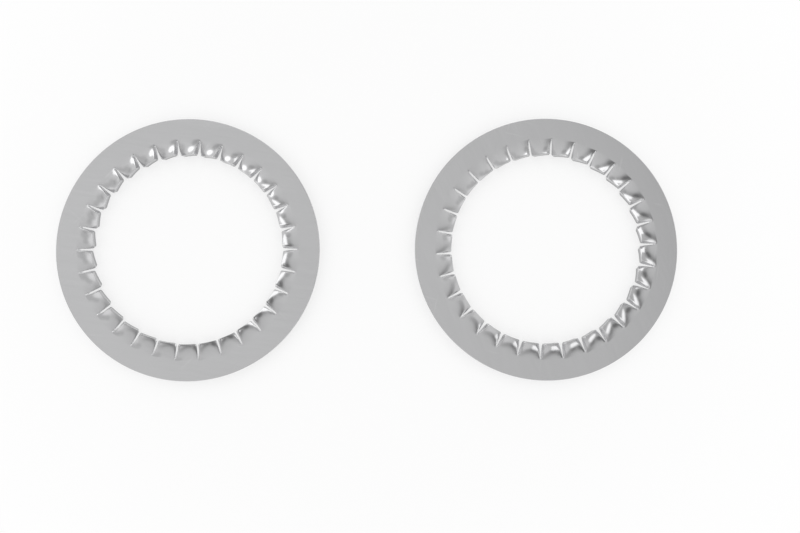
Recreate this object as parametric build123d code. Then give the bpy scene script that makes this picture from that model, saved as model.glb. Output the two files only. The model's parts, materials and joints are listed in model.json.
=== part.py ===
from build123d import *
import math
import os

# A pair of internally serrated lock washers, lying side by side on a flat surface.
# Each washer is one ring of spring steel sheet. Narrow slots cut its bore into teeth,
# and each tooth is twisted about its own radial centre line, so that one tip corner
# bites upwards and the other bites downwards when a nut clamps the ring.

# Driving dimensions of one washer, in millimetres and degrees
outer_dia = 70.0
slot_root_dia = 58.2
bore_dia = 50.5
sheet_thickness = 1.6
tooth_count = 30
slot_width_at_root = 0.42
slot_width_at_tip = 0.86

# The twist of a tooth. Growth under 1 makes it start sharply at the root, and the last
# stretch before the bore, the tip land, turns no further.
tip_twist = 27.5
twist_growth = 0.7
tip_land = 0.15

# A twisted face is drawn as small flats, in rows of equal twist and in columns across
# the tooth, and a slot's round root as short straight walls
twist_rows = 4
tooth_columns = 4
root_walls = 4

# How far the tip land is drawn past the bore's chord before the bore trims it
tip_trim = 0.05

# How the pair lies: the gap between the rims, and how much further the right washer is
# turned than the left one, which has a slot on the line between the two axes
rim_gap = 25.5
right_extra_turn = 2.5

# Sizes that follow
outer_radius = outer_dia / 2
bore_radius = bore_dia / 2
tooth_pitch = 360 / tooth_count
half_pitch = math.radians(tooth_pitch / 2)
slot_round_radius = slot_width_at_root / 2
slot_round_centre = slot_root_dia / 2 - slot_round_radius
root_distance = slot_round_centre * math.cos(half_pitch)
land_distance = bore_radius + tip_land
tip_distance = bore_radius * math.cos(half_pitch) - tip_trim
centre_offset = (outer_dia + rim_gap) / 2


def tooth_width(distance):
    """The width of a tooth at a distance from the washer's axis, between its two slots."""
    depth = (root_distance - distance) / (root_distance - tip_distance)
    slot_width = slot_width_at_root + depth * (slot_width_at_tip - slot_width_at_root)
    return 2 * distance * math.tan(half_pitch) - slot_width


def section_plane(distance, twist):
    """The plane of the +X tooth's cross-section. Its X runs to the lowered side, its Y upwards."""
    lie = math.radians(twist)
    return Plane(
        origin=(distance, 0, 0), x_dir=(0, math.cos(lie), -math.sin(lie)), z_dir=(1, 0, 0)
    )


def section_edges(distance, twist):
    """The lower and the upper edge of a tooth's cross-section, as evenly spaced points."""
    plane = section_plane(distance, twist)
    places = [column / tooth_columns - 0.5 for column in range(tooth_columns + 1)]
    return [
        [plane.from_local_coords((tooth_width(distance) * place, height)) for place in places]
        for height in (-sheet_thickness / 2, sheet_thickness / 2)
    ]


def flats_between(edge, next_edge):
    """Pairs of triangles that join two edges of equally many points."""
    flats = []
    for column in range(len(edge) - 1):
        near, far = edge[column : column + 2]
        next_near, next_far = next_edge[column : column + 2]
        flats.append(Face(Wire.make_polygon([near, far, next_far])))
        flats.append(Face(Wire.make_polygon([near, next_far, next_near])))
    return flats


def build_twisted_stretch():
    """The +X tooth from its root to its tip land, as one closed skin of flats."""
    sections = []
    for row in range(twist_rows + 1):
        twist_share = row / twist_rows
        depth = twist_share ** (1 / twist_growth)
        distance = root_distance + depth * (land_distance - root_distance)
        sections.append(section_edges(distance, twist_share * tip_twist))

    skin = []
    for (lower, upper), (next_lower, next_upper) in zip(sections, sections[1:]):
        skin += flats_between(lower, next_lower)
        skin += flats_between(upper, next_upper)
        for side in (0, -1):
            skin += flats_between(
                [lower[side], upper[side]], [next_lower[side], next_upper[side]]
            )
    for lower, upper in (sections[0], sections[-1]):
        skin.append(Face(Wire.make_polygon(lower + upper[::-1])))
    return Solid(Shell(skin))


def build_tip_land():
    """The straight end of the +X tooth, trimmed to the bore's radius."""
    ends = [
        section_plane(distance, tip_twist) * Rectangle(tooth_width(distance), sheet_thickness)
        for distance in (land_distance, tip_distance)
    ]
    return loft(ends, ruled=True) - Cylinder(bore_radius, outer_dia)


def build_blank():
    """The flat ring, with a straight seat for each tooth and a round root for each slot."""
    root_sweep = 90 + tooth_pitch / 2
    corners = []
    for root in PolarLocations(slot_round_centre, tooth_count, start_angle=tooth_pitch / 2):
        for wall in range(root_walls + 1):
            turn = root_sweep * (2 * wall / root_walls - 1)
            corners.append((root * Rot(0, 0, turn) * Pos(slot_round_radius, 0, 0)).position)
    outline = Circle(outer_radius) - make_face(Polyline(*corners, close=True))
    return extrude(outline, sheet_thickness / 2, both=True)


def build_washer():
    """One washer about the origin, with its middle plane at Z = 0."""
    tooth = build_twisted_stretch() + build_tip_land()
    teeth = [place * tooth for place in PolarLocations(0, tooth_count)]
    return build_blank().fuse(*teeth)


def lay_down(washer, centre_x, turn):
    """Turn a washer about its axis and rest its lowered tooth corners on Z = 0."""
    turned = Rot(0, 0, turn) * washer
    rest_height = -turned.bounding_box().min.Z
    return Pos(centre_x, 0, rest_height) * turned


washer = build_washer()
pair = {
    "left_washer": lay_down(washer, -centre_offset, tooth_pitch / 2),
    "right_washer": lay_down(washer, centre_offset, tooth_pitch / 2 + right_extra_turn),
}

os.makedirs("parts", exist_ok=True)
for name, solid in pair.items():
    export_step(solid, f"parts/{name}.step")
    box = solid.bounding_box()
    print(name, "volume", round(solid.volume, 2), "top", round(box.max.Z, 3), "valid", solid.is_valid)
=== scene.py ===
"""Dresses a pair of internally serrated lock washers that lie side by side on a floor.

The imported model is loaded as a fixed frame. Each washer is modelled afresh over its CAD
node, with smoothly twisted teeth and broken edges, and gets a satin spring steel finish.
Sizes are in millimetres and angles in degrees, unless a comment says otherwise.
"""
import json
import logging
import math
from dataclasses import dataclass
from enum import Enum
from typing import Union

import bmesh
import bpy
from mathutils import Matrix, Vector


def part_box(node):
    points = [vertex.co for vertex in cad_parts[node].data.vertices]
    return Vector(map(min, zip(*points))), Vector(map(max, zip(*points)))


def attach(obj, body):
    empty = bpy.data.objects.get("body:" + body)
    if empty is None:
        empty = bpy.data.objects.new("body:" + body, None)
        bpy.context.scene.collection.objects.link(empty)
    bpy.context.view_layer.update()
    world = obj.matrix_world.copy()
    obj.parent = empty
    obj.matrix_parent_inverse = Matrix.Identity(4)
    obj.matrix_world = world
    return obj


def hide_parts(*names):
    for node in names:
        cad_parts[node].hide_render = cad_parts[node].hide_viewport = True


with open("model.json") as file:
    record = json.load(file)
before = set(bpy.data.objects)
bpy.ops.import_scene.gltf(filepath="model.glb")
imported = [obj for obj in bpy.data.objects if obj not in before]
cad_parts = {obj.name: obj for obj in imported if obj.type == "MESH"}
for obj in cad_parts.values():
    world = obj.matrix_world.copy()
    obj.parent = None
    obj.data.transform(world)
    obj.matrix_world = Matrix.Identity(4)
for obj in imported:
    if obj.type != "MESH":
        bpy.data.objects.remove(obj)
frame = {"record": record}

log = logging.getLogger("washers")

# A millimetre in metres, for what is read from the frame and given to Blender
MILLIMETRE = 0.001

# Points that are nearer to each other than this are one point
TOUCHING = 0.001

# Directions in the frame, and the middle of a washer while it is being made
TO_RIGHT = (1, 0, 0)
TO_RIGHT_TURNED_20 = (0.94, 0.342, 0)
TO_BACK = (0, 1, 0)
UP = (0, 0, 1)
ORIGIN = (0, 0, 0)

WHITE = (1, 1, 1, 1)

# The middle value of a noise pattern, which runs from 0 to 1
NOISE_MIDDLE = 0.5


def clamped(value: float) -> float:
    """A number held between 0 and 1."""
    return min(max(value, 0.0), 1.0)


def eased(share: float) -> float:
    """A share from 0 to 1, made to start and end softly."""
    return share * share * (3 - 2 * share)


def turned(vector: Vector, angle: float, axis: str = "Z") -> Vector:
    """A vector turned about an axis through the origin, by an angle in radians."""
    return Matrix.Rotation(angle, 3, axis) @ vector


class Signal:
    """A node's output that can be used in Python sums, each of which adds its Math node."""

    def __init__(self, graph: "NodeGraph", socket: bpy.types.NodeSocket) -> None:
        """Wrap one output socket of a graph.

        Args:
            graph: The graph that the socket's node stands in.
            socket: The output socket.
        """
        self.graph = graph
        self.socket = socket

    def maths(self, operation: str, *operands: "Operand") -> "Signal":
        """Add a Math node to the graph.

        Args:
            operation: The Math node's operation.
            operands: Signals or numbers, in the order of the node's sockets.

        Returns:
            The node's value.
        """
        return self.graph.node("ShaderNodeMath", {"operation": operation}, dict(enumerate(operands)))

    def __add__(self, other: "Operand") -> "Signal":
        """This signal plus another."""
        return self.maths("ADD", self, other)

    def __radd__(self, other: "Operand") -> "Signal":
        """A number plus this signal."""
        return self.maths("ADD", other, self)

    def __sub__(self, other: "Operand") -> "Signal":
        """This signal less another."""
        return self.maths("SUBTRACT", self, other)

    def __rsub__(self, other: "Operand") -> "Signal":
        """A number less this signal."""
        return self.maths("SUBTRACT", other, self)

    def __mul__(self, other: "Operand") -> "Signal":
        """This signal times another."""
        return self.maths("MULTIPLY", self, other)

    def __rmul__(self, other: "Operand") -> "Signal":
        """A number times this signal."""
        return self.maths("MULTIPLY", other, self)

    def at_most(self, other: "Operand") -> "Signal":
        """The lesser of this signal and another."""
        return self.maths("MINIMUM", self, other)

    def at_least(self, other: "Operand") -> "Signal":
        """The greater of this signal and another."""
        return self.maths("MAXIMUM", self, other)

    def between(self, start: float, end: float) -> "Signal":
        """A soft step.

        Args:
            start: The value at which the step is 0.
            end: The value at which the step is 1, which may lie below the start.

        Returns:
            A signal from 0 to 1.
        """
        return self.graph.node(
            "ShaderNodeMapRange",
            {"interpolation_type": "SMOOTHSTEP"},
            {"Value": self, "From Min": start, "From Max": end},
        )


Operand = Union[Signal, float]


class Coordinates(Enum):
    """The coordinates that a pattern is read at, by the name of their socket."""

    OBJECT = "Object"
    WORLD_HEADING = "Generated"


class Ray(Enum):
    """A kind of ray that meets a surface or the world, by the name of its socket."""

    CAMERA = "Is Camera Ray"
    DIFFUSE = "Is Diffuse Ray"
    GLOSSY = "Is Glossy Ray"


class NodeGraph:
    """The node tree of one material or world."""

    def __init__(self, owner: Union[bpy.types.Material, bpy.types.World]) -> None:
        """Empty the owner's node tree and take it over.

        Args:
            owner: The material or world.
        """
        owner.use_nodes = True
        self.tree = owner.node_tree
        self.tree.nodes.clear()

    def node(self, kind: str, settings: dict, sockets: dict, output: Union[int, str] = 0) -> Signal:
        """Add a node, with its settings first and its sockets after them.

        Args:
            kind: The node's type.
            settings: Its properties by name.
            sockets: Values or signals by the name or number of the input socket.
            output: The name or number of the output that is wanted.

        Returns:
            The wanted output.
        """
        added = self.tree.nodes.new(kind)
        for name, value in settings.items():
            setattr(added, name, value)
        for name, value in sockets.items():
            if isinstance(value, Signal):
                self.tree.links.new(value.socket, added.inputs[name])
            else:
                added.inputs[name].default_value = value
        return Signal(self, added.outputs[output] if added.outputs else None)

    def coordinates(self, kind: Coordinates) -> Signal:
        """The coordinates of each spot on the surface, or the heading of each ray in the world."""
        return self.node("ShaderNodeTexCoord", {}, {}, kind.value)

    def attribute(self, name: str) -> Signal:
        """The number that the mesh keeps under a name at each point."""
        return self.node("ShaderNodeAttribute", {"attribute_name": name}, {}, "Fac")

    def ray(self, kind: Ray) -> Signal:
        """A signal that is 1 for one kind of ray and 0 for the others."""
        return self.node("ShaderNodeLightPath", {}, {}, kind.value)

    def turn(self, place: Signal, angle: float) -> Signal:
        """Coordinates turned about Z."""
        rotation = (0, 0, math.radians(angle))
        return self.node("ShaderNodeMapping", {}, {"Vector": place, "Rotation": rotation})

    def stretch(self, place: Signal, scale: tuple) -> Signal:
        """Coordinates scaled along each axis. A scale under 1 draws a pattern out."""
        return self.node("ShaderNodeMapping", {}, {"Vector": place, "Scale": scale})

    def along(self, vector: Signal, direction: tuple) -> Signal:
        """How far a vector reaches in a direction of unit length."""
        settings = {"operation": "DOT_PRODUCT"}
        return self.node("ShaderNodeVectorMath", settings, {0: vector, 1: direction}, "Value")

    def noise(self, place: Signal, scale: float, detail: float) -> Signal:
        """Add a noise pattern.

        Args:
            place: The coordinates that it is read at.
            scale: Its waves to the metre.
            detail: The number of finer noises that are added to it.

        Returns:
            The pattern, from 0 to 1.
        """
        sockets = {"Vector": place, "Scale": scale, "Detail": detail}
        return self.node("ShaderNodeTexNoise", {}, sockets)

    def white(self, kind: str, strength: Operand) -> Signal:
        """Add a shader that gives off white light.

        Args:
            kind: The type of its node.
            strength: The strength of the light.

        Returns:
            The shader.
        """
        return self.node(kind, {}, {"Color": WHITE, "Strength": strength})

    def mix(self, factor: Signal, first: Signal, second: Signal) -> Signal:
        """Mix two shaders.

        Args:
            factor: The share of the second shader.
            first: The shader that shows where the factor is 0.
            second: The shader that shows where the factor is 1.

        Returns:
            The mixed shader.
        """
        return self.node("ShaderNodeMixShader", {}, {0: factor, 1: first, 2: second})

    def finish(self, kind: str, shader: Signal) -> None:
        """Add the output node.

        Args:
            kind: The output node's type.
            shader: The shader that it shows.
        """
        self.node(kind, {}, {"Surface": shader})


class Berth(Enum):
    """The place of a washer, by the word that its node and its mounts start with."""

    LEFT = "left"
    RIGHT = "right"


@dataclass(frozen=True)
class Effect:
    """What a pattern or a mark adds to the finish where it is full.

    Attributes:
        brightness: What it adds to the brightness, by which the tint is multiplied.
        roughness: What it adds to the roughness.
        height: What it adds to the relief, in depths of the rolling grain.
    """

    brightness: float = 0.0
    roughness: float = 0.0
    height: float = 0.0


@dataclass(frozen=True)
class SpringSteel:
    """Cold-rolled spring steel with a satin face, a sheared wall and lightly worn edges.

    Attributes:
        name: The material's name.
        rolling_direction: The turn of the strip's grain from +X.
        tint: The colour of the rolled face, linear.
        roughness: The roughness of the rolled face.
        grain_depth: The height of the rolling grain, in metres.
        relief_strength: The share of the relief that the shading shows.
        grain_draw: How much the grain is drawn out along the strip.
        scratch_directions: The turns of the two sets of scratches from the grain.
        scratch_draw: How much a scratch is drawn out.
        scratch_crest: The values of a fine noise between which a scratch begins.
        scratch_patch: The values of a coarse noise between which a scratched patch begins.
        edge_band: Depths below a face, as shares of the sheet, between which the wall begins.
        tear_band: Heights in the sheet, as shares of it, between which the cut band gives
            way to the torn one below it.
        tear_waver: How far the torn band's edge wavers, as a share of the sheet.
        scoring_draw: How much the cut band's scoring is drawn out through the sheet.
    """

    name: str
    rolling_direction: float
    tint: tuple = (0.72, 0.72, 0.728)
    roughness: float = 0.14
    grain_depth: float = 0.000002
    relief_strength: float = 0.5
    grain_draw: float = 0.03
    scratch_directions: tuple = (34.0, -52.0)
    scratch_draw: float = 0.05
    scratch_crest: tuple = (0.73, 0.85)
    scratch_patch: tuple = (0.5, 0.6)
    edge_band: tuple = (0.01, 0.06)
    tear_band: tuple = (0.56, 0.5)
    tear_waver: float = 0.16
    scoring_draw: float = 0.04

    def material(self) -> bpy.types.Material:
        """Make the material.

        Returns:
            The new material.
        """
        steel = bpy.data.materials.new(self.name)
        graph = NodeGraph(steel)
        place = graph.coordinates(Coordinates.OBJECT)
        through = graph.attribute("through")
        wall = through.at_most(1 - through).between(*self.edge_band)
        marks = self.face_marks(graph, place, wall) + self.wall_marks(graph, place, through, wall)
        brightness = sum((effect.brightness * mark for mark, effect in marks if effect.brightness), 1.0)
        roughness = sum(
            (effect.roughness * mark for mark, effect in marks if effect.roughness), self.roughness
        )
        height = sum((effect.height * mark for mark, effect in marks if effect.height), 0.0)
        colour = graph.node(
            "ShaderNodeVectorMath", {"operation": "SCALE"}, {0: self.tint, "Scale": brightness}
        )
        bump = graph.node(
            "ShaderNodeBump",
            {},
            {"Height": height, "Strength": self.relief_strength, "Distance": self.grain_depth},
        )
        shader = graph.node(
            "ShaderNodeBsdfPrincipled",
            {},
            {"Base Color": colour, "Metallic": 1.0, "Roughness": roughness, "Normal": bump},
        )
        graph.finish("ShaderNodeOutputMaterial", shader)
        return steel

    def face_marks(self, graph: NodeGraph, place: Signal, wall: Signal) -> list[tuple[Signal, Effect]]:
        """Lay out the rolled strip's grain, streaks, cloudy patches and scratches.

        Args:
            graph: The material's graph.
            place: The object's coordinates.
            wall: A signal that is 1 on the sheared walls and 0 on the faces.

        Returns:
            Each mark with its effect.
        """
        face = 1 - wall
        strip = graph.turn(place, self.rolling_direction)
        drawn_out = graph.stretch(strip, (self.grain_draw, 1.0, 1.0))
        grain = graph.noise(drawn_out, scale=6000.0, detail=3.0)
        streaks = graph.noise(drawn_out, scale=900.0, detail=2.0)
        clouds = graph.noise(place, scale=90.0, detail=3.0)
        one_way, other_way = (
            self.hairlines(graph, place, direction) for direction in self.scratch_directions
        )
        scratches = one_way.at_least(other_way)
        return [
            (grain - NOISE_MIDDLE, Effect(brightness=0.1, roughness=0.1)),
            (streaks - NOISE_MIDDLE, Effect(brightness=0.06, roughness=0.08)),
            (clouds - NOISE_MIDDLE, Effect(brightness=0.05, roughness=0.08)),
            (grain * face, Effect(height=1.5)),
            (scratches * face, Effect(brightness=0.05, height=-0.6)),
        ]

    def wall_marks(
        self, graph: NodeGraph, place: Signal, through: Signal, wall: Signal
    ) -> list[tuple[Signal, Effect]]:
        """Lay out the worn edges, the two bands that shearing leaves on a wall, and the painted shade
        on the bore's and the rim's walls.

        Args:
            graph: The material's graph.
            place: The object's coordinates.
            through: The height in the sheet, from 0 on its lower face to 1 on its upper.
            wall: A signal that is 1 on the sheared walls and 0 on the faces.

        Returns:
            Each mark with its effect.
        """
        crumble = graph.noise(place, scale=5200.0, detail=5.0)
        waver = graph.noise(place, scale=1100.0, detail=2.0)
        upright = graph.stretch(place, (1.0, 1.0, self.scoring_draw))
        scoring = graph.noise(upright, scale=5200.0, detail=2.0)

        # The 4 makes the edge 1 where it is half face and half wall
        edge = 4 * wall * (1 - wall)
        wavering = through + self.tear_waver * (waver - NOISE_MIDDLE)
        torn = wavering.between(*self.tear_band) * wall
        cut = wall - torn
        # Painted shade: the bore's and the rim's walls are painted darker than the slot walls, though
        # all are cut alike
        exposed = graph.attribute("exposed") * wall
        return [
            (edge, Effect(brightness=0.06)),
            (cut, Effect(brightness=0.12, roughness=0.2)),
            (torn, Effect(brightness=-0.02, roughness=0.3)),
            # Painted shade on the bore's and rim's walls: much darker, and a little rougher
            (exposed, Effect(brightness=-0.38, roughness=0.1)),
            (cut * (scoring - NOISE_MIDDLE), Effect(brightness=0.14)),
            (torn * (crumble - NOISE_MIDDLE), Effect(brightness=0.35)),
            (cut * scoring, Effect(height=2.0)),
            (torn * crumble, Effect(height=7.0)),
        ]

    def hairlines(self, graph: NodeGraph, place: Signal, direction: float) -> Signal:
        """Lay a few short hairline scratches in one direction.

        Args:
            graph: The material's graph.
            place: The object's coordinates.
            direction: The scratches' turn from the grain.

        Returns:
            A signal that is 1 in a scratch and 0 beside it.
        """
        lie = graph.turn(place, direction + self.rolling_direction)
        drawn_out = graph.stretch(lie, (self.scratch_draw, 1.0, 1.0))
        ridges = graph.noise(drawn_out, scale=2600.0, detail=0.0)
        patches = graph.noise(lie, scale=130.0, detail=1.0)
        return ridges.between(*self.scratch_crest) * patches.between(*self.scratch_patch)


@dataclass
class LockWasher:
    """One ring of sheet whose bore is slit into teeth, each twisted about its own centre line.

    The ring's place, bore and thickness are read from the frame. The fields are the sizes
    that the frame doesn't name. Until it is laid in its place, the ring is made about the
    origin, with its first tooth on +X.

    Attributes:
        berth: Which washer of the pair it is.
        turn: The turn of the first tooth's centre line from +X.
        tooth_count: The number of teeth.
        slot_root_dia: The circle that the slots' round roots reach.
        slot_width_at_root: The width of a slot at its root.
        slot_width_at_tip: Its width at the bore.
        tip_twist: The twist of a tooth's tip.
        twist_growth: The power of a tooth's depth that its twist grows with.
        twist_lead: How far outside the tooth's seat the twist starts.
        tip_land: The last stretch of a tooth, which twists no further.
        tip_corner_round: The rounding of a tooth's corners, in plan.
        tip_row_length: The length of a tooth's last row of faces.
        edge_break: The rounding of the teeth's sheared edges.
        rim_break: The rounding of the rim's sheared edges.
        sharp_angle: The turn between two faces from which their edge counts as sheared.
        break_segments: The faces across a rounded edge.
        corner_segments: The edges round a tooth's corner.
        tooth_rows: The rows of faces along a tooth.
        tooth_columns: The columns of faces across it.
        root_segments: The edges round half of a slot's root.
        rim_segments: The edges of the rim in one tooth's sector.
        shoulder_steps: The distances beyond the slot roots at which the ring has rows of points.
    """

    berth: Berth
    turn: float
    tooth_count: int = 30
    slot_root_dia: float = 58.2
    slot_width_at_root: float = 0.42
    slot_width_at_tip: float = 0.86
    tip_twist: float = 28.0
    twist_growth: float = 1.3
    twist_lead: float = 0.9
    tip_land: float = 0.15
    tip_corner_round: float = 0.35
    tip_row_length: float = 0.5
    edge_break: float = 0.09
    rim_break: float = 0.14
    sharp_angle: float = 60.0
    break_segments: int = 3
    corner_segments: int = 4
    tooth_rows: int = 12
    tooth_columns: int = 10
    root_segments: int = 7
    rim_segments: int = 8
    shoulder_steps: tuple = (0.17, 0.3, 0.45, 0.65)

    def __post_init__(self) -> None:
        """Read the washer's place and main sizes from the frame, and work out what follows."""
        mounts = {mount["name"]: mount for mount in frame["record"]["mounts"]}
        side = self.berth.value
        bore = mounts[f"{side}_bore"]
        self.node = f"{side}_washer"
        self.centre = Vector(bore["pos_m"]) / MILLIMETRE
        self.bore_radius = bore["dims"]["r_mm"]
        upper, lower = (mounts[f"{side}_{face}_face"]["pos_m"][2] for face in ("upper", "lower"))
        self.thickness = (upper - lower) / MILLIMETRE
        low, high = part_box(self.node)
        self.rim_radius = min(high.y, -low.y) / MILLIMETRE
        self.half_pitch = math.pi / self.tooth_count
        self.root_round = self.slot_width_at_root / 2
        self.root_centre = self.slot_root_dia / 2 - self.root_round
        self.seat_distance = self.root_centre * math.cos(self.half_pitch)
        self.lead_distance = self.seat_distance + self.twist_lead
        self.land_distance = self.bore_radius + self.tip_land
        self.tip_distance = self.bore_radius * math.cos(self.half_pitch)

    def half_width(self, distance: float) -> float:
        """Half the width of a tooth.

        Args:
            distance: The distance from the washer's axis, along the tooth's centre line.

        Returns:
            The half width between the two slots.
        """
        depth = (self.seat_distance - distance) / (self.seat_distance - self.tip_distance)
        widening = self.slot_width_at_tip - self.slot_width_at_root
        slot_width = self.slot_width_at_root + depth * widening
        return distance * math.tan(self.half_pitch) - slot_width / 2

    def slot_line(self, side: float) -> Vector:
        """The unit vector along the middle of the first tooth's slot, on side -1 or 1."""
        return turned(Vector(TO_RIGHT), side * self.half_pitch)

    def lay_out_tooth(self, plan: bmesh.types.BMesh) -> None:
        """Lay the first tooth out flat, as a grid of even rows and a longer one at its tip.

        Args:
            plan: The flat mesh that is being laid out.
        """
        half_grid = 0.5
        grid = bmesh.ops.create_grid(
            plan, x_segments=self.tooth_rows, y_segments=self.tooth_columns, size=half_grid
        )
        shoulder = self.bore_radius + self.tip_row_length
        tip_half_angle = math.asin(self.half_width(self.tip_distance) / self.bore_radius)
        for vertex in grid["verts"]:
            row = round((half_grid - vertex.co.x) * self.tooth_rows)
            side = vertex.co.y / half_grid
            if row == self.tooth_rows:
                vertex.co = turned(Vector((self.bore_radius, 0, 0)), side * tip_half_angle)
            else:
                depth = row / (self.tooth_rows - 1)
                distance = self.seat_distance + depth * (shoulder - self.seat_distance)
                vertex.co = (distance, side * self.half_width(distance), 0)
        tip_row = [v for v in plan.verts if v.co.x < shoulder - self.tip_row_length / 2]
        tip_corners = sorted(tip_row, key=lambda vertex: vertex.co.y)
        bmesh.ops.bevel(
            plan,
            geom=[tip_corners[0], tip_corners[-1]],
            offset=self.tip_corner_round,
            segments=self.corner_segments,
            profile=0.5,
            affect="VERTICES",
            material=-1,
        )

    def lay_out_ring(self, plan: bmesh.types.BMesh) -> None:
        """Lay out the part of the ring that carries the first tooth.

        Args:
            plan: The flat mesh, which holds the tooth.
        """
        front = self.lay_out_roots(plan)
        for number, step in enumerate(self.shoulder_steps):
            front = self.grow(plan, front, self.slot_root_dia / 2 + step, fanned=number == 0)
        self.reach_rim(plan, front)

    def lay_out_roots(self, plan: bmesh.types.BMesh) -> list[bmesh.types.BMEdge]:
        """Lay out half of the round root of each slot beside the tooth.

        Args:
            plan: The flat mesh, which holds the tooth.

        Returns:
            The edges of the tooth's seat and of the two half roots.
        """
        seat_edges = [
            edge for edge in plan.edges
            if all(vertex.co.x > self.seat_distance - TOUCHING for vertex in edge.verts)
        ]
        seat = sorted({vertex for edge in seat_edges for vertex in edge.verts}, key=lambda v: v.co.y)
        for corner, side in ((seat[0], -1), (seat[-1], 1)):
            bmesh.ops.spin(
                plan,
                geom=[corner],
                cent=self.slot_line(side) * self.root_centre,
                axis=UP,
                angle=side * (math.pi / 2 + self.half_pitch),
                steps=self.root_segments,
            )
        return [edge for edge in plan.edges if edge in seat_edges or not edge.link_faces]

    def grow(
        self, plan: bmesh.types.BMesh, front: list[bmesh.types.BMEdge], radius: float, fanned: bool
    ) -> list[bmesh.types.BMEdge]:
        """Grow the ring outwards by one row of faces.

        Args:
            plan: The flat mesh.
            front: The edges that the row starts from.
            radius: The radius that it reaches.
            fanned: Whether its points are spread evenly, and not straight outwards.

        Returns:
            The row's outer edges.
        """
        grown = bmesh.ops.extrude_edge_only(plan, edges=front)["geom"]
        for vertex in grown:
            if isinstance(vertex, bmesh.types.BMVert):
                heading = self.fan_out(vertex.co) if fanned else vertex.co.normalized()
                vertex.co = heading * radius
        return [
            edge for edge in grown
            if isinstance(edge, bmesh.types.BMEdge) and len(set(map(self.ring_of, edge.verts))) == 1
        ]

    def reach_rim(self, plan: bmesh.types.BMesh, front: list[bmesh.types.BMEdge]) -> None:
        """Close the sector with one face, which reaches from the last row to the rim.

        Args:
            plan: The flat mesh.
            front: The last row's outer edges.
        """
        ends = {vertex for edge in front for vertex in edge.verts if len(vertex.link_edges) == 2}
        rim_ends = []
        for end in sorted(ends, key=lambda vertex: vertex.co.y):
            side = bmesh.ops.extrude_vert_indiv(plan, verts=[end])
            side["verts"][0].co *= self.rim_radius / end.co.length
            rim_ends += side["verts"]
        bmesh.ops.spin(
            plan,
            geom=rim_ends[:1],
            cent=ORIGIN,
            axis=UP,
            angle=2 * self.half_pitch,
            steps=self.rim_segments,
        )
        bmesh.ops.remove_doubles(plan, verts=plan.verts, dist=TOUCHING)
        wires = [edge for edge in plan.edges if not edge.link_faces]
        bmesh.ops.contextual_create(plan, geom=wires + front)

    def fan_out(self, point: Vector) -> Vector:
        """Spread the points of the first tooth's root evenly over its sector.

        Args:
            point: A point on the tooth's seat or on a slot's round root.

        Returns:
            The direction from the axis, which turns in step with the distance along the root.
        """
        seat_half = self.half_width(self.seat_distance)
        whole = seat_half + self.root_round * (math.pi / 2 + self.half_pitch)
        side = math.copysign(1.0, point.y)
        if abs(point.x - self.seat_distance) < TOUCHING and abs(point.y) < seat_half:
            along = abs(point.y)
        else:
            radial = self.slot_line(side)
            along = whole - self.root_round * (point - radial * self.root_centre).angle(radial)
        return turned(Vector(TO_RIGHT), side * self.half_pitch * along / whole)

    @staticmethod
    def ring_of(vertex: bmesh.types.BMVert) -> int:
        """The radius on which a point lies, as a whole number that can be compared."""
        return round(vertex.co.length / TOUCHING)

    def repeat_round_bore(self, plan: bmesh.types.BMesh) -> None:
        """Copy the sector round the axis and join the copies.

        Args:
            plan: The flat mesh, which holds one sector.
        """
        copies = self.tooth_count - 1
        bmesh.ops.spin(
            plan,
            geom=plan.verts[:] + plan.edges[:] + plan.faces[:],
            cent=ORIGIN,
            axis=UP,
            angle=copies * 2 * self.half_pitch,
            steps=copies,
            use_duplicate=True,
        )
        bmesh.ops.remove_doubles(plan, verts=plan.verts, dist=TOUCHING)

    def thicken(self, body: bmesh.types.BMesh) -> None:
        """Give the flat ring the thickness of the sheet, half of it each way.

        Args:
            body: The flat mesh, which becomes a closed one.
        """
        raised = bmesh.ops.extrude_face_region(body, geom=body.faces[:])
        raised_verts = [part for part in raised["geom"] if isinstance(part, bmesh.types.BMVert)]
        bmesh.ops.translate(body, verts=raised_verts, vec=(0, 0, self.thickness))
        bmesh.ops.translate(body, verts=body.verts, vec=(0, 0, -self.thickness / 2))
        bmesh.ops.recalc_face_normals(body, faces=body.faces)

    def break_edges(self, body: bmesh.types.BMesh) -> None:
        """Round the sheared edges, and the rim's more than the teeth's.

        Args:
            body: The closed flat ring.
        """
        for on_rim, width in ((True, self.rim_break), (False, self.edge_break)):
            edges = [
                edge for edge in body.edges
                if edge.calc_face_angle(0.0) > math.radians(self.sharp_angle)
                and (edge.verts[0].co.xy.length > self.rim_radius - self.rim_break) == on_rim
            ]
            bmesh.ops.bevel(
                body,
                geom=edges,
                offset=width,
                segments=self.break_segments,
                profile=0.5,
                affect="EDGES",
                material=-1,
            )

    def note_depth(self, body: bmesh.types.BMesh) -> None:
        """Keep where each point lies in the sheet, for the finish.

        Its height goes from 0 on the lower face to 1 on the upper. A second value, the mask for painted
        shade, is 1 on the bore's wall and on the rim's, which the finish paints darker, and 0 inside a
        slot.

        Args:
            body: The ring, with its edges rounded and its teeth still flat.
        """
        through = body.verts.layers.float.new("through")
        exposed = body.verts.layers.float.new("exposed")
        for vertex in body.verts:
            distance = vertex.co.xy.length
            past_bore = (distance - self.bore_radius) / self.tip_corner_round
            past_slots = distance - self.slot_root_dia / 2
            vertex[through] = vertex.co.z / self.thickness + 0.5
            vertex[exposed] = clamped(max(1.0 - past_bore, past_slots))

    def twist_at(self, spot: Vector) -> float:
        """Tell how far the first tooth is twisted at a spot.

        Args:
            spot: A point of the tooth, or of the ring where the twist leads into it.

        Returns:
            The twist in radians, which fades out towards the middle of a slot.
        """
        depth = (self.lead_distance - spot.x) / (self.lead_distance - self.land_distance)
        twist = math.radians(self.tip_twist) * clamped(depth) ** self.twist_growth
        if spot.x > self.seat_distance:
            to_next = (spot.x * math.tan(self.half_pitch) - abs(spot.y)) / self.root_round
            twist *= eased(clamped(to_next))
        return twist

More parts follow.
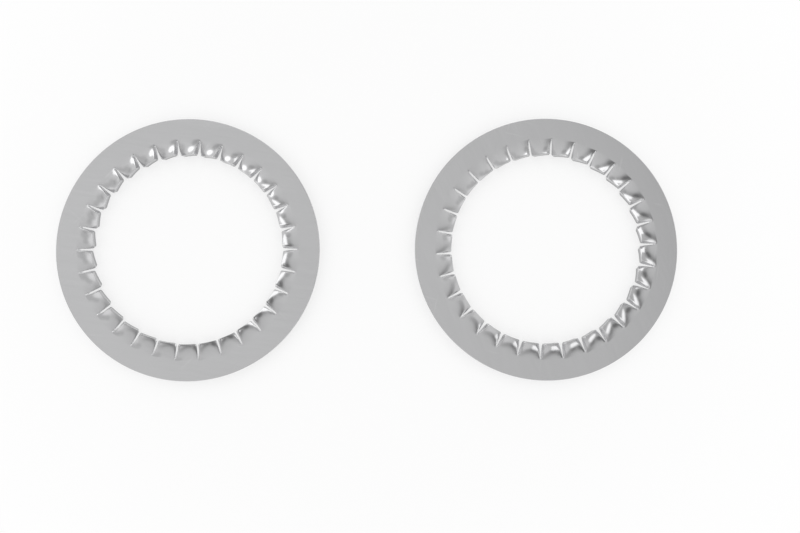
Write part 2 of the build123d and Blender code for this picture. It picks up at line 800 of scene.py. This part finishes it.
    def twist_teeth(self, body: bmesh.types.BMesh) -> None:
        """Twist each tooth about its centre line, with every point kept at its own radius.

        Args:
            body: The ring with flat teeth.
        """
        pitch = 2 * self.half_pitch
        for vertex in body.verts:
            centre_line = round(math.atan2(vertex.co.y, vertex.co.x) / pitch) * pitch
            spot = turned(vertex.co, -centre_line)
            if spot.x < self.lead_distance:
                twisted = turned(spot, -self.twist_at(spot), "X")
                twisted.x = math.sqrt(spot.xy.length_squared - twisted.y ** 2)
                vertex.co = turned(twisted, centre_line)

    def lay_in_place(self, body: bmesh.types.BMesh) -> None:
        """Turn the ring, lay it where its CAD node lies and bring it to metres.

        Args:
            body: The finished ring, about the origin.
        """
        turn = Matrix.Rotation(math.radians(self.turn), 3, "Z")
        bmesh.ops.rotate(body, verts=body.verts, cent=ORIGIN, matrix=turn)
        bmesh.ops.translate(body, verts=body.verts, vec=self.centre)
        bmesh.ops.scale(body, verts=body.verts, vec=(MILLIMETRE,) * 3)

    def build(self, finish: SpringSteel) -> bpy.types.Object:
        """Build and dress the washer.

        Args:
            finish: The steel's finish.

        Returns:
            The finished piece, which stands for the washer's CAD node.
        """
        body = bmesh.new()
        self.lay_out_tooth(body)
        self.lay_out_ring(body)
        self.repeat_round_bore(body)
        self.thicken(body)
        self.break_edges(body)
        self.note_depth(body)
        self.twist_teeth(body)
        self.lay_in_place(body)
        for face in body.faces:
            face.smooth = True
        mesh = bpy.data.meshes.new(f"{self.berth.value}_serrated_washer")
        body.to_mesh(mesh)
        body.free()
        piece = bpy.data.objects.new(mesh.name, mesh)
        bpy.context.scene.collection.objects.link(piece)
        mesh.materials.append(finish.material())
        shading = piece.modifiers.new("even_shading", "WEIGHTED_NORMAL")
        shading.mode = "FACE_AREA"
        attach(piece, "root")
        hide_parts(self.node)
        return piece


@dataclass(frozen=True)
class RoundLamp:
    """A round soft light at the edge of the studio, or a dark flag if its strength is negative.

    Attributes:
        azimuth: The direction of its middle, from +X.
        lean: The angle of its middle from straight up.
        rim: The angle from its middle at which it ends.
        core: The angle from its middle up to which it is full.
        strength: How much it adds to the world's light.
    """

    azimuth: float
    lean: float
    rim: float
    core: float
    strength: float

    def shine(self, graph: NodeGraph, heading: Signal) -> Signal:
        """Tell how much of the lamp lies in a direction.

        Args:
            graph: The world's node graph.
            heading: The direction that is looked up.

        Returns:
            A signal from 0 outside the lamp to 1 inside it.
        """
        azimuth = math.radians(self.azimuth)
        lean = math.radians(self.lean)
        middle = (
            math.sin(lean) * math.cos(azimuth),
            math.sin(lean) * math.sin(azimuth),
            math.cos(lean),
        )
        nearness = graph.along(heading, middle)
        return nearness.between(math.cos(math.radians(self.rim)), math.cos(math.radians(self.core)))


@dataclass(frozen=True)
class SoftEdge:
    """A soft edge of a panel, which lies across one direction.

    Attributes:
        across: The direction, of unit length.
        outside: How far a heading reaches in it where the panel ends.
        inside: How far a heading reaches in it where the panel is full.
    """

    across: tuple
    outside: float
    inside: float


@dataclass(frozen=True)
class SoftPanel:
    """A panel of light with soft edges, or a dark gap if its strength is negative.

    Attributes:
        strength: How much it adds to the world's light.
        edges: The edges that bound it.
    """

    strength: float
    edges: tuple

    def shine(self, graph: NodeGraph, heading: Signal) -> Signal:
        """Tell how much of the panel lies in a direction.

        Args:
            graph: The world's node graph.
            heading: The direction that is looked up.

        Returns:
            A signal from 0 outside the panel to 1 inside it.
        """
        first, *others = (
            graph.along(heading, edge.across).between(edge.outside, edge.inside)
            for edge in self.edges
        )
        for other in others:
            first = first * other
        return first


@dataclass(frozen=True)
class PaleFloor:
    """The floor's finish, whitened for what the camera and the metal see of it.

    Attributes:
        colour: The colour, linear.
        roughness: The roughness.
        specular: The level of its gloss.
        white_near: The share of plain white that the camera sees under the washers.
        white_mirrored: The share of plain white that the metal mirrors.
        whitening: Distances from the middle, in metres, between which the floor turns all white.
    """

    colour: tuple = (0.98, 0.98, 0.98, 1.0)
    roughness: float = 0.3
    specular: float = 0.3
    white_near: float = 0.6
    white_mirrored: float = 0.9
    whitening: tuple = (0.05, 0.16)

    def material(self) -> bpy.types.Material:
        """Make the material.

        Returns:
            The new material.
        """
        surface = bpy.data.materials.new("pale_floor")
        graph = NodeGraph(surface)
        lit = graph.node(
            "ShaderNodeBsdfPrincipled",
            {},
            {
                "Base Color": self.colour,
                "Roughness": self.roughness,
                "Specular IOR Level": self.specular,
            },
        )
        place = graph.coordinates(Coordinates.OBJECT)
        from_middle = graph.node(
            "ShaderNodeVectorMath", {"operation": "LENGTH"}, {0: place}, "Value"
        )
        further_out = from_middle.between(*self.whitening)
        for_camera = graph.ray(Ray.CAMERA) * (self.white_near + (1 - self.white_near) * further_out)
        for_metal = self.white_mirrored * graph.ray(Ray.GLOSSY)
        white = graph.white("ShaderNodeEmission", 1.0)
        shown = graph.mix(for_camera.at_least(for_metal), lit, white)
        graph.finish("ShaderNodeOutputMaterial", shown)
        return surface


@dataclass
class Studio:
    """A pale floor, soft light from all round and the camera that looks down on the pair.

    Attributes:
        base_light: The world's light where no lamp or panel lies.
        fall_to_right: How much weaker it is to the right, and stronger to the left.
        far_panel: The bright panel at the back.
        right_panel: The bright panel on the right.
        overhead_gap: The dark gap on the right, between the panels and the middle overhead.
        skirt: The bright band round the horizon.
        lamps: The round lamps and dark flags.
        floor_half_width: Half the side of the floor, in metres.
        camera_place: The camera's place in the frame.
        camera_yaw: The camera's turn about +Y.
        camera_pitch: Its turn about +X, towards the top of the picture.
        camera_roll: Its turn about its own axis.
        focal_length: The lens.
        sensor_width: The width of the sensor behind it.
        nearest_seen: The shortest distance that the camera sees at, in metres.
        farthest_seen: The longest distance that it sees at, in metres.
    """

    base_light: float = 0.64
    fall_to_right: float = 0.13
    far_panel: SoftPanel = SoftPanel(
        strength=0.78,
        edges=(
            SoftEdge(TO_BACK, outside=0.645, inside=0.7),
            SoftEdge(TO_RIGHT, outside=-0.52, inside=-0.45),
            SoftEdge(TO_RIGHT, outside=0.33, inside=0.25),
            SoftEdge(UP, outside=0.48, inside=0.56),
        ),
    )
    right_panel: SoftPanel = SoftPanel(
        strength=0.78,
        edges=(
            SoftEdge(TO_RIGHT, outside=0.6, inside=0.72),
            SoftEdge(TO_BACK, outside=0.62, inside=0.5),
            SoftEdge(TO_BACK, outside=-0.2, inside=-0.05),
            SoftEdge(UP, outside=0.48, inside=0.56),
        ),
    )
    overhead_gap: SoftPanel = SoftPanel(
        strength=-0.24,
        edges=(
            SoftEdge(UP, outside=0.966, inside=0.819),
            SoftEdge(UP, outside=0.67, inside=0.77),
            SoftEdge(TO_RIGHT_TURNED_20, outside=-0.35, inside=0.4),
        ),
    )
    skirt: SoftPanel = SoftPanel(
        strength=0.4,
        edges=(
            SoftEdge(UP, outside=0.16, inside=0.06),
            SoftEdge(UP, outside=-0.2, inside=-0.06),
        ),
    )
    lamps: tuple = (
        RoundLamp(azimuth=152.0, lean=56.0, rim=14.0, core=7.0, strength=0.85),
        RoundLamp(azimuth=240.0, lean=58.0, rim=26.0, core=7.0, strength=0.2),
        RoundLamp(azimuth=320.0, lean=62.0, rim=34.0, core=9.0, strength=0.16),
        RoundLamp(azimuth=50.0, lean=40.0, rim=16.0, core=4.0, strength=-0.17),
        RoundLamp(azimuth=200.0, lean=45.0, rim=20.0, core=5.0, strength=-0.16),
        RoundLamp(azimuth=0.0, lean=41.0, rim=14.0, core=4.0, strength=-0.09),
        RoundLamp(azimuth=230.0, lean=30.0, rim=14.0, core=3.0, strength=-0.12),
        RoundLamp(azimuth=190.0, lean=60.0, rim=14.0, core=3.0, strength=-0.14),
        RoundLamp(azimuth=126.0, lean=41.0, rim=14.0, core=4.0, strength=-0.2),
    )
    floor_half_width: float = 3.0
    camera_place: tuple = (8.06, -11.6, 192.91)
    camera_yaw: float = -0.212
    camera_pitch: float = 2.086
    camera_roll: float = -0.103
    focal_length: float = 32.21
    sensor_width: float = 36.0
    nearest_seen: float = 0.001
    farthest_seen: float = 20.0

    def set_camera(self) -> None:
        """Set the camera up at the photograph's distance and angle."""
        lens = bpy.data.cameras.new("camera")
        lens.sensor_fit = "HORIZONTAL"
        lens.sensor_width = self.sensor_width
        lens.lens = self.focal_length
        lens.clip_start = self.nearest_seen
        lens.clip_end = self.farthest_seen
        camera = bpy.data.objects.new("camera", lens)
        bpy.context.scene.collection.objects.link(camera)
        turn = (
            Matrix.Rotation(math.radians(self.camera_yaw), 4, "Y")
            @ Matrix.Rotation(math.radians(self.camera_pitch), 4, "X")
            @ Matrix.Rotation(math.radians(self.camera_roll), 4, "Z")
        )
        camera.matrix_world = Matrix.Translation(Vector(self.camera_place) * MILLIMETRE) @ turn
        bpy.context.scene.camera = camera

    def lay_floor(self) -> None:
        """Lay the pale, slightly glossy floor that the washers rest on."""
        plane = bmesh.new()
        bmesh.ops.create_grid(plane, x_segments=1, y_segments=1, size=self.floor_half_width)
        mesh = bpy.data.meshes.new("floor")
        plane.to_mesh(mesh)
        plane.free()
        floor = bpy.data.objects.new("floor", mesh)
        bpy.context.scene.collection.objects.link(floor)
        mesh.materials.append(PaleFloor().material())

    def light_world(self) -> None:
        """Light the metal from the lamps and panels, and show plain white to all else."""
        world = bpy.data.worlds.new("studio")
        bpy.context.scene.world = world
        graph = NodeGraph(world)
        heading = graph.coordinates(Coordinates.WORLD_HEADING)
        light = self.base_light - self.fall_to_right * graph.along(heading, TO_RIGHT)
        panels = (self.far_panel, self.right_panel, self.overhead_gap, self.skirt)
        for lamp in panels + self.lamps:
            light = light + lamp.strength * lamp.shine(graph, heading)
        mirrored = graph.white("ShaderNodeBackground", light)
        plain = graph.white("ShaderNodeBackground", 1.0)
        seen_or_scattered = graph.ray(Ray.CAMERA).at_least(graph.ray(Ray.DIFFUSE))
        graph.finish("ShaderNodeOutputWorld", graph.mix(seen_or_scattered, mirrored, plain))

    def build(self) -> None:
        """Set up the camera, the floor and the light."""
        bpy.context.scene.view_settings.view_transform = "Standard"
        self.set_camera()
        self.lay_floor()
        self.light_world()


def main() -> None:
    """Build the studio and the pair, and log how many faces each piece has."""
    logging.basicConfig(level=logging.INFO)
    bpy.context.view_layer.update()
    Studio().build()
    log.info("studio: camera, floor and world")
    washers = (
        LockWasher(Berth.LEFT, turn=6.0).build(SpringSteel("left_steel", rolling_direction=8.0)),
        LockWasher(Berth.RIGHT, turn=8.5).build(SpringSteel("right_steel", rolling_direction=67.0)),
    )
    for piece in washers:
        log.info("%s: %d faces", piece.name, len(piece.data.polygons))


if __name__ == "__main__":
    main()
